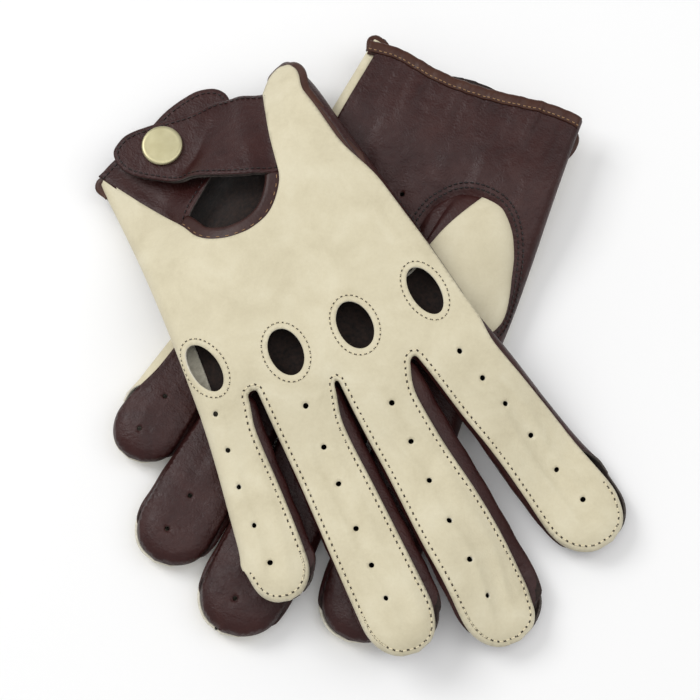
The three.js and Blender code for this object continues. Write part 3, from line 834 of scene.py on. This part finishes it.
def surface_run(glove, edge, line, lift):
    """Places and outward directions over a line drawn on a flat hide."""
    t, s = line[:, 0], line[:, 1]
    pt, ps, ph = hide_place(edge, t, s)
    at = glove.lay(pt, ps, ph)
    e = 0.3
    q1 = glove.lay(*hide_place(edge, t + e, s))
    q2 = glove.lay(*hide_place(edge, t, s + e))
    n = np.cross(q1 - at, q2 - at)
    n /= np.maximum(np.linalg.norm(n, axis=1), 1e-12)[:, None]
    sign = 1.0 if facing(glove, edge.up) else -1.0
    n *= sign
    return at + n * lift * MM, n


def stitch_row(glove, name, at, normals, stitch, body=None):
    """A row of stitches along a run of places."""
    body = body or glove.body
    pitch, length = stitch.pitch, stitch.length
    run = np.concatenate([[0], np.cumsum(np.linalg.norm(np.diff(at, axis=0), axis=1))]) / MM
    count = int(run[-1] / pitch)
    if count < 2:
        return
    begin = (np.arange(count) + 0.5) * run[-1] / count - length / 2

    def pick(table, where):
        return np.stack([np.interp(where, run, table[:, i]) for i in range(3)], axis=1)

    jitter = rng.normal(0, 0.05 * pitch, count)
    a, b = pick(at, begin + jitter), pick(at, begin + length + jitter)
    n = pick(normals, begin + length / 2)
    n /= np.linalg.norm(n, axis=1)[:, None]
    side = np.cross(b - a, n)
    side /= np.maximum(np.linalg.norm(side, axis=1), 1e-12)[:, None]
    a, b = a + side * stitch.slant * MM, b - side * stitch.slant * MM
    capsules(f"{glove.name}_{name}", a, b, n, stitch.radius * MM, 0.10 * length * MM, stitch.thread, body)
    # each stitch end gets a dark disc of painted shade where its needle hole lies in shadow
    if stitch.hole:
        radius, finish = stitch.hole
        n = np.vstack([n, n])
        shade_discs(f"{glove.name}_{name}_holes", np.vstack([a, b]) + n * 0.12 * MM, n, radius * MM, finish, body)


def build_hides(glove):
    # back hide: one piece of cream with the keyhole at the wrist, four knuckle holes and rows of vents
    little_to_index = cuff_trim(glove.back)
    corner = little_to_index[-1]
    peak = smooth_line([corner + (-0.2, -0.8), (41.2, 0.9), (38.2, -0.2), (33, 1.5), STRAP_ROOT[0]], 24)
    outline = np.vstack([little_to_index, peak, KEYHOLE_RUN, [TAB_ROOT[0]], [(-43, -0.9)]])
    outline = even_line(np.vstack([outline, outline[:1]]), 0.8)[:-1]
    holes = [ring_of((t, s), half, -turn, 44) for (t, s, turn), half in zip(KNUCKLES, KNUCKLE_HALF)]
    for row in VENTS:
        holes += [ring_of(p, (VENT_RADIUS, VENT_RADIUS), 0, 12) for p in row]
    v, f = cut_flat(outline, holes, 1.15)
    sew_hide(glove, "back_hide", f, hide_place(glove.back, v[:, 0], v[:, 1]), 1,
             CREAM_PLY, "back_panel")
    # palm hide: brown, with the thumb hole
    little_side = cuff_trim(glove.palm)
    outline = np.vstack([little_side, [(51.0, -4.6)], CUFF_PALM[::-1]])
    outline = even_line(np.vstack([outline, outline[:1]]), 0.8)[:-1]
    hole = rim_curve(-1.3)
    vents = [(-7, 50.4), (-52, 160.3), (-55, 175.2), (-26.7, 189.3), (-28.7, 203.7), (5, 215.6)]
    holes = [hole[:-1]] + [ring_of(p, (0.9, 0.9), 0, 10) for p in vents]
    v, f = cut_flat(outline, holes, 1.2)
    pt, ps, ph = hide_place(glove.palm, v[:, 0], v[:, 1])
    away = nearest(hole, v)[0]
    ph = ph + 0.9 * np.exp(-((away / 3.2) ** 2)) - 0.35 * np.exp(-(((away - 3.2) / 0.8) ** 2))
    sew_hide(glove, "palm_hide", f, (pt, ps, ph), -1, BROWN_PLY, "palm_panel")


def finger_path(hand, i):
    """Outline rows round the crotch between finger i and the next, from tip to tip."""
    rows = list(hand.crotches[i])
    for finger, kind in ((i, "fork_right"), (i + 1, "fork_left")):
        rows += np.nonzero((hand.finger == finger) & (hand.kind == kind) & (hand.k < 0.95))[0].tolist()
    return np.array(sorted(rows))


def build_forks(glove):
    names = ["fork_ring_little", "fork_middle_ring", "fork_index_middle"]
    for i, name in enumerate(names):
        rows = finger_path(glove.hand, i)
        spot, normal = glove.hand.line[rows], glove.hand.normal[rows]
        ends = np.minimum(np.arange(len(rows)), np.arange(len(rows))[::-1])
        close = ease(ends / 5.0)
        top_h, low_h = glove.back.e[rows] - 1.0, glove.palm.e[rows] - 1.0
        top_in, low_in = glove.back.inset[rows] + 2.2, glove.palm.inset[rows] + 2.0
        reach = lengths_along(spot)
        shows = np.where(glove.hand.kind[rows] == "fork_right", 1.5, 0.5) * ease(ends / 14.0)
        grid = []
        count = 11
        for j in range(count):
            k = j / (count - 1)
            bulge = math.sin(math.pi * k)
            h = mix(top_h, -low_h, k)
            flat = mix(top_in, low_in, k)
            inset = mix(flat, 0.35, bulge**0.6)
            inset = mix(flat, inset, 0.35 + 0.65 * close)
            wave = (0.12 * np.sin(reach * 0.45 + i) - shows) * bulge * close
            p = spot + normal * (inset + wave)[:, None]
            grid.append(glove.lay(p[:, 0], p[:, 1], h))
        grid = np.array(grid)
        trial = np.concatenate([grid[5:7], (grid[:1] + grid[-1:]) / 2])
        obj = grid_piece(f"{glove.name}_{name}_strip", grid, BROWN_PLY,
                         flip=faces_in(trial, 0, 2, len(rows) // 4))
        thicken(obj, 0.8, 1, 2)
        stand_for(glove, obj, name)


def bezier(a, b, c, d, k):
    k = k[:, None, None]
    return a * (1 - k) ** 3 + 3 * b * (1 - k) ** 2 * k + 3 * c * (1 - k) * k**2 + d * k**3


def rim_curve(grow):
    """The closed line where the thumb is set into the palm, grown outward by grow."""
    closed = THUMB_RIM[-2:] + THUMB_RIM + THUMB_RIM[:2]
    line = smooth_line(closed, (len(closed) - 1) * 16 + 1)[32:-32]
    line = even_line(line, 0.7)
    n = side_of(line)
    if ((np.array(THUMB_MIDDLE) - line) * n).sum(1).mean() > 0:
        n = -n
    return line + n * grow


def build_thumb(glove):
    lean, length = glove.lean, glove.thumb - 4
    ahead = np.array([math.cos(lean), math.sin(lean)])
    across = np.array([math.sin(lean), -math.cos(lean)])
    centre = np.array(THUMB_MIDDLE, float)
    count = 144
    theta = np.linspace(0, 2 * math.pi, count, endpoint=False)
    rim = rim_curve(0.9) - centre
    angle = np.unwrap(np.arctan2(rim[:, 1], rim[:, 0]))
    order = np.argsort(angle % (2 * math.pi))
    radius = np.interp((theta + lean) % (2 * math.pi), (angle % (2 * math.pi))[order],
                       np.hypot(rim[:, 0], rim[:, 1])[order], period=2 * math.pi)
    base = centre + np.stack([radius * np.cos(theta + lean), radius * np.sin(theta + lean)], axis=1)
    start = np.concatenate([base, np.full((count, 1), -3.9)], axis=1)
    half, deep, reach, root_rows = THUMB_WIDTH / 2, 3.9, 23.0, 34
    middle = -(PALM_DOME + 0.2 + deep)

    def ring(along_it, wide, thick):
        flat = centre + along_it * ahead + np.outer(-wide * np.sin(theta), across)
        return np.concatenate([flat, (middle + thick * np.cos(theta))[:, None]], axis=1)

    # the front of the rim turns under the thumb, the rear swells up over its heel
    rear = 0.5 - 0.5 * np.cos(theta)
    inward = (centre - base) / np.linalg.norm(centre - base, axis=1)[:, None]
    swell = np.concatenate([inward * mix(1.0, 3.5, rear)[:, None],
                            -mix(1.0, 7.2, rear**0.8)[:, None]], axis=1)
    end = ring(reach, half, deep)
    back_off = np.concatenate([np.tile(-ahead, (count, 1)) * mix(2.0, 17.0, rear)[:, None],
                               np.zeros((count, 1))], axis=1)
    rows = list(bezier(start, start + swell, end + back_off, end, np.linspace(0, 1, root_rows)))
    for d in np.linspace(reach, length, 24)[1:]:
        over = max(0.0, (d - (length - 12)) / 12)
        taper = math.sqrt(max(1 - over**2.4, 0.0))
        rows.append(ring(d, max(half * taper, 0.5), max(deep * mix(1, taper, 0.92), 0.5)))
    rows = np.array(rows)
    n_rows = len(rows)
    share = np.minimum(np.arange(n_rows) / root_rows, 1)
    seam = math.atan2(THUMB_SEAM[1] - centre[1], THUMB_SEAM[0] - centre[0]) % (2 * math.pi) - lean
    last = mix(seam, math.radians(101), ease(share))
    first = mix(math.radians(95) - lean, math.radians(-70), ease(share))
    spine = centre + np.outer(np.clip(np.arange(n_rows) / n_rows, 0, 1) * length, ahead)
    out = rows - np.concatenate([spine, np.full((n_rows, 1), middle * 0.6)], axis=1)[:, None, :]
    out /= np.maximum(np.linalg.norm(out, axis=2), 1e-6)[..., None]
    fold = Ripple(7.5, 33, (0.8, 2.0))
    flat = rows.reshape(-1, 3)
    rows = rows + out * (0.28 * fold(flat[:, 0], flat[:, 1])).reshape(n_rows, count)[..., None]

    def shell(name, lo, hi, grow, materials, node, roll=0.0):
        cols = 72
        k = np.linspace(0, 1, cols)
        grid = []
        for n in range(n_rows):
            place = (mix(lo[n], hi[n], k) / (2 * math.pi) * count) % count
            i = place.astype(int) % count
            f = (place - np.floor(place))[:, None]
            p = rows[n][i] * (1 - f) + rows[n][(i + 1) % count] * f
            o = out[n][i] * (1 - f) + out[n][(i + 1) % count] * f
            lift = grow - 0.25 * np.exp(-((np.minimum(k, 1 - k) * cols / 1.4) ** 2))
            fade = ease(n / 6.0)
            lift = lift + roll * fade * (0.9 * np.exp(-(((1 - k) - 0.07) / 0.04) ** 2)
                                         - 1.7 * np.exp(-(((1 - k) - 0.19) / 0.045) ** 2))
            p = p + o * lift[:, None]
            grid.append(glove.lay(p[:, 0], p[:, 1], p[:, 2]))
        obj = grid_piece(f"{glove.name}_{name}", grid, materials, flip=not glove.mirrored)
        thicken(obj, 0.85, 1, 2)
        stand_for(glove, obj, node)

    shell("thumb_front_hide", first, last + 0.05, -0.25, BROWN_PLY, "thumb_front",
          roll=1.0)
    shell("thumb_back_hide", last, first + 2 * math.pi + 0.05, 0.5, CREAM_PLY, "thumb_back")
    # two rows of dark stitches on the palm round the rim of the thumb
    for n, away in enumerate((2.3, 4.1)):
        at, normal = surface_run(glove, glove.palm, rim_curve(away), (0.35, 0.25)[n])
        stitch_row(glove, f"thumb_rim_stitches_{n}", at, normal, THUMB_SEAM_ROW)


def rolled_strip(glove, name, line, surface, outer, inner, finish):
    """A thin strip folded over a cut edge. line runs along the edge, surface gives where the strip lies
    at a distance off the hide, and outer and inner are how far it reaches over the two faces."""
    shape = [(-outer, 0.30), (-outer + 0.2, 0.62), (-outer + 0.8, 0.80), (-outer * 0.55, 0.86), (-1.3, 0.90),
             (-0.4, 0.86), (0.25, 0.55), (0.55, 0.0), (0.60, -0.5), (0.45, -1.1), (0.0, -1.55), (-0.8, -1.85),
             (-inner * 0.6, -1.9), (-inner, -1.75)]
    rng.normal(0, 1, len(line))     # keeps the later stitches spaced as they are
    grid = []
    for d, h in shape:
        t, s, hh = surface(d)
        grid.append(glove.lay(t, s, hh + np.sign(hh.mean()) * h))
    grid = np.array(grid)
    obj = grid_piece(f"{glove.name}_{name}_strip", grid, [finish, finish, BROWN_EDGE],
                     flip=faces_in(grid, 4, 9))
    thicken(obj, 0.5, 1, 2)
    stand_for(glove, obj, name)
    return grid


def outward_rows(grid, top, low):
    normal = grid[top] - grid[low]
    return normal / np.linalg.norm(normal, axis=1)[:, None]


def build_bindings(glove):
    # wrist binding: folded over the cuff edge of the palm hide
    line = even_line(CUFF_PALM, 1.0)
    out = -side_of(line)
    out = np.where((out[:, 1] > 0)[:, None], -out, out)

    def on_palm(d):
        q = line - out * max(-d, 0.0)
        t, s, h = hide_place(glove.palm, q[:, 0], q[:, 1])
        return t + out[:, 0] * max(d, 0), s + out[:, 1] * max(d, 0), h

    grid = rolled_strip(glove, "wrist_binding", line, on_palm, BINDING - 1.0, BINDING - 0.6, STRIP)
    normal = outward_rows(grid, 3, 8)
    stitch_row(glove, "wrist_binding_stitches", mix(grid[2], grid[3], 0.35) + normal * 0.22 * MM, normal,
               WRIST_SEAM)
    # the same binding shows along the side of the cuff, round its longer corner and at the short one
    side = glove.back.edge[(glove.back.hand.finger < 0) & (glove.back.hand.kind == "index")]
    side = side[(side[:, 1] < 52) & (side[:, 1] > 3.0)]
    ends = {"peak": np.vstack([side, [(41.2, 0.9), (38.2, -0.2), (33, 1.5), (30.3, 3.6)]]),
            "corner": np.array([(-38.5, -2.0), (-41.8, -1.6), (-43.6, -0.6), (-44.6, 1.6), (-44.9, 5)])}
    for name, pts in ends.items():
        line = even_line(smooth_line(even_line(pts, 3.0), 80), 0.8)
        out = side_of(line)
        out = np.where((((line - (0.0, 30.0)) * out).sum(1) < 0)[:, None], -out, out)
        count = np.arange(len(line))
        wide = ease((np.minimum(count, count[::-1]) + 0.5) / 7.0)
        kept = line - out * 0.6
        height = hide_place(glove.back, kept[:, 0], kept[:, 1])[2]
        shape = [(-3.5, -1.05), (-1.0, -0.95), (0.8, -0.95), (1.9, -1.05), (2.5, -1.45), (1.9, -1.9),
                 (0.0, -2.05), (-3.5, -2.1)]
        grid = []
        for d, h in shape:
            q = line + out * (d * wide[:, None] if d > 0 else d)
            grid.append(glove.lay(q[:, 0], q[:, 1], height + h))
        strip = grid_piece(f"{glove.name}_cuff_binding_{name}", grid, [STRIP, STRIP, BROWN_EDGE],
                           flip=faces_in(np.array(grid), 1, 6))
        thicken(strip, 0.45, 1, 2)
        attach(strip, glove.body)
    # keyhole binding: folded over the round end of the wrist opening
    line = even_line(KEYHOLE_RUN, 0.9)
    out = side_of(line)
    out = np.where(((out * ((-4.0, 25.0) - line)).sum(1) < 0)[:, None], -out, out)
    edge_t, edge_s, edge_h = hide_place(glove.back, line[:, 0], line[:, 1])

    def in_opening(d):
        reach = 4.4 + d
        return edge_t + out[:, 0] * reach, edge_s + out[:, 1] * reach, edge_h * 0 + PALM_DOME - 1.15

    grid = rolled_strip(glove, "keyhole_binding", line, in_opening, 6.2, 5.0, DARK_STRIP)
    normal = outward_rows(grid, 4, 9)
    stitch_row(glove, "keyhole_stitches", grid[3] + normal * 0.12 * MM, normal, KEYHOLE_SEAM)


def flap(glove, name, points, base, materials, node, body):
    """A sewn wrist flap from its outline. base gives the outer face height; the edges round off."""
    outline = even_line(smooth_line(points, 120), 0.9)
    v, f = cut_flat(outline, [], 0.9, 0.7)
    edge = nearest(outline, v)[0]
    t, s = v[:, 0], v[:, 1]
    h = base(t, s)
    h = h - 0.32 * np.exp(-((edge / 0.5) ** 2)) - 0.14 * np.exp(-(((edge - 1.5) / 0.45) ** 2))
    h = h + 0.05 * crinkle(t, s) + 0.10 * crease_palm(t, s) * ease((edge - 2) / 5)
    sew_hide(glove, name, f, (t, tucked(glove, t, s), h), 1, materials, node, FLAP_PLY, body)


def flap_line(points, inset):
    """A line inside the free edge of a flap."""
    line = even_line(smooth_line(points, 120), 0.8)
    n = side_of(line)
    middle = line.mean(0)
    if ((middle - line) * n).sum(1).mean() < 0:
        n = -n
    return line + n * inset


def build_wrist(glove):
    strap_face = lambda t, s: PALM_DOME + strap_lift(t, s) + 2.55
    lining_face = lambda t, s: PALM_DOME + strap_lift(t, s) + 1.35
    tab_face = lambda t, s: PALM_DOME - 2.4 * np.exp(-((root_distance(TAB_ROOT, t, s) / 4.5) ** 2))
    flap(glove, "strap_hide", STRAP, strap_face, BROWN_PLY, "strap", glove.flap)
    flap(glove, "strap_lining_hide", STRAP, lining_face, [BROWN_FLESH, BROWN, BROWN_EDGE], "strap_lining",
         glove.flap)
    flap(glove, "stud_tab_hide", TAB, tab_face, BROWN_PLY, "stud_tab", glove.body)
    for name, points, face, inset, body in (("strap_stitches", STRAP, strap_face, 1.6, glove.flap),
                                            ("tab_stitches", TAB, tab_face, 1.9, glove.body)):
        line = flap_line(points, inset)
        s = tucked(glove, line[:, 0], line[:, 1])
        h = face(line[:, 0], line[:, 1]) + 0.10
        at = glove.lay(line[:, 0], s, h)
        n = glove.lay(line[:, 0], s, h + 1) - at
        n /= np.linalg.norm(n, axis=1)[:, None]
        stitch_row(glove, name, at, n, FLAP_SEAM, body)


def turned(name, profile, segments, material):
    """A round metal piece spun from its profile of (radius, height), in metres about the origin."""
    bpy.ops.object.select_all(action="DESELECT")
    mesh = bpy.data.meshes.new(name)
    pts = [(r, 0.0, z) for r, z in profile]
    mesh.from_pydata(pts, [(i, i + 1) for i in range(len(pts) - 1)], [])
    obj = bpy.data.objects.new(name, mesh)
    bpy.context.scene.collection.objects.link(obj)
    bpy.context.view_layer.objects.active = obj
    obj.select_set(True)
    bpy.ops.object.mode_set(mode="EDIT")
    bpy.ops.mesh.select_all(action="SELECT")
    bpy.ops.mesh.spin(steps=segments, angle=2 * math.pi, center=(0, 0, 0), axis=(0, 0, 1))
    bpy.ops.mesh.select_all(action="SELECT")
    bpy.ops.mesh.remove_doubles(threshold=1e-6)
    bpy.ops.mesh.normals_make_consistent(inside=False)
    bpy.ops.object.mode_set(mode="OBJECT")
    mesh.materials.append(material)
    bpy.ops.object.shade_smooth_by_angle(angle=math.radians(35))
    obj.select_set(False)
    return obj


# the press stud: profiles of (radius, height above the stud tab), and whether the piece moves with the strap
SNAP_PARTS = {
    "snap_post": ([(0, -2.2), (3.9, -2.2), (4.2, -2.1), (4.45, -1.85), (4.5, -1.6), (4.4, -1.5), (1.5, -1.5),
                   (1.5, 0.7), (0, 0.7)], False),
    "snap_stud": ([(1.8, 0.35), (4.7, 0.35), (4.9, 0.5), (4.85, 0.8), (4.0, 1.0), (2.5, 1.15), (1.95, 1.5),
                   (1.9, 1.9), (2.2, 2.4), (2.25, 2.8), (1.95, 3.25), (1.4, 3.4), (0, 3.4), (0, 1.05),
                   (1.8, 1.05), (1.8, 0.35)], False),
    "snap_socket": ([(2.6, 1.5), (4.4, 1.5), (4.9, 1.65), (5.2, 2.0), (5.3, 2.4), (5.3, 3.9), (2.6, 3.9),
                     (2.6, 1.5)], True),
    "snap_cap": ([(0, 3.75), (1.6, 3.75), (1.6, 7.0), (6.9, 7.0), (7.4, 7.1), (7.7, 7.35), (7.8, 7.75),
                  (7.75, 8.2), (7.55, 8.5), (7.2, 8.7), (6.7, 8.78), (6.2, 8.76), (5.6, 8.77), (3.0, 8.83),
                  (0, 8.86)], True),
}


def build_snap(glove):
    t, s = np.array([float(SNAP[0])]), np.array([float(SNAP[1] + glove.tuck)])
    base = glove.lay(t, s, np.array([0.0]))[0]
    up = glove.lay(t, s, np.array([1.0]))[0] - base
    up /= np.linalg.norm(up)
    turn = Vector((0, 0, 1)).rotation_difference(Vector(up)).to_matrix()
    turn = np.array(turn)
    for name, (profile, moving) in SNAP_PARTS.items():
        obj = turned(f"{glove.name}_{name}_metal", [(r * MM, z * MM) for r, z in profile], 48, BRASS)
        co = np.empty(len(obj.data.vertices) * 3)
        obj.data.vertices.foreach_get("co", co)
        co = co.reshape(-1, 3)
        co[:, 2] += PALM_DOME * MM
        co = co @ turn.T + base
        obj.data.vertices.foreach_set("co", co.ravel())
        obj.data.update()
        stand_for(glove, obj, name, glove.flap if moving else glove.body)


def build_stitching(glove):
    # prick stitches round each slit between two fingers and round the fingertips
    hand = glove.hand
    runs = [finger_path(hand, i) for i in range(3)]
    runs += [np.nonzero((hand.finger == i) & (hand.k > 0.80) & (hand.kind != "crotch"))[0] for i in range(4)]
    for n, rows in enumerate(runs):
        line = even_line(glove.back.edge[rows] + glove.back.guide_normal[rows] * SEAM_INSET, 0.4)
        at, normal = surface_run(glove, glove.back, line, 0.05)
        stitch_row(glove, f"prick_stitches_{n}", at, normal, PRICK_SEAM)
    # fine stitches round the knuckle holes
    for n, ((t, s, turn), half) in enumerate(zip(KNUCKLES, KNUCKLE_HALF)):
        loop = ring_of((t, s), (half[0] + 2.2, half[1] + 2.2), -turn, 120)
        loop = np.vstack([loop, loop[:1]])
        at, normal = surface_run(glove, glove.back, loop, 0.03)
        stitch_row(glove, f"knuckle_stitches_{n}", at, normal, KNUCKLE_SEAM)


for glove in (LEFT, RIGHT):
    build_hides(glove)
    build_forks(glove)
    build_thumb(glove)
    build_bindings(glove)
    build_wrist(glove)
    build_snap(glove)
    build_stitching(glove)

# ---- table, light and camera ----
floor_mesh = bpy.data.meshes.new("table_top")
floor_mesh.from_pydata([(-3, -3, 0), (3, -3, 0), (3, 3, 0), (-3, 3, 0)], [], [(0, 1, 2, 3)])
floor = bpy.data.objects.new("table_top", floor_mesh)
bpy.context.scene.collection.objects.link(floor)
paper, _, paper_bsdf = nodes_of("white_paper")
paper_bsdf.inputs["Base Color"].default_value = (0.9, 0.9, 0.9, 1)
paper_bsdf.inputs["Roughness"].default_value = 0.8
floor_mesh.materials.append(paper)
floor.location.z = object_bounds()[0][2] - 0.0002


def lamp(name, at, size, power):
    """A square soft light at a place, aimed at the middle of the table."""
    light = bpy.data.lights.new(name, "AREA")
    light.size = size
    light.energy = power
    obj = bpy.data.objects.new(name, light)
    obj.location = at
    obj.rotation_euler = (-Vector(at)).to_track_quat("-Z", "Y").to_euler()
    bpy.context.scene.collection.objects.link(obj)


lamp("soft_box_left", (-0.9, 0.5, 1.1), 0.7, 9.5)
lamp("soft_box_right", (0.9, 0.1, 1.2), 0.9, 4)
lamp("top_light", (0.0, -0.2, 1.6), 1.2, 6)
world = bpy.data.worlds.new("room")
bpy.context.scene.world = world
world.use_nodes = True
world.node_tree.nodes["Background"].inputs[0].default_value = (1, 1, 1, 1)
world.node_tree.nodes["Background"].inputs[1].default_value = 0.5

camera = bpy.data.cameras.new("camera")
camera.lens = 100
camera.sensor_width = 36
camera_obj = bpy.data.objects.new("camera", camera)
bpy.context.scene.collection.objects.link(camera_obj)
tilt = math.radians(75)
aim = Vector(((SHIFT[0]) * MM, SHIFT[1] * MM, (15 + SHIFT[2]) * MM))
back = Vector((0, -math.cos(tilt), math.sin(tilt)))
camera_obj.location = aim + back * 0.7194
camera_obj.rotation_euler = (-back).to_track_quat("-Z", "Y").to_euler()
bpy.context.scene.camera = camera_obj
bpy.context.scene.view_settings.view_transform = "Standard"
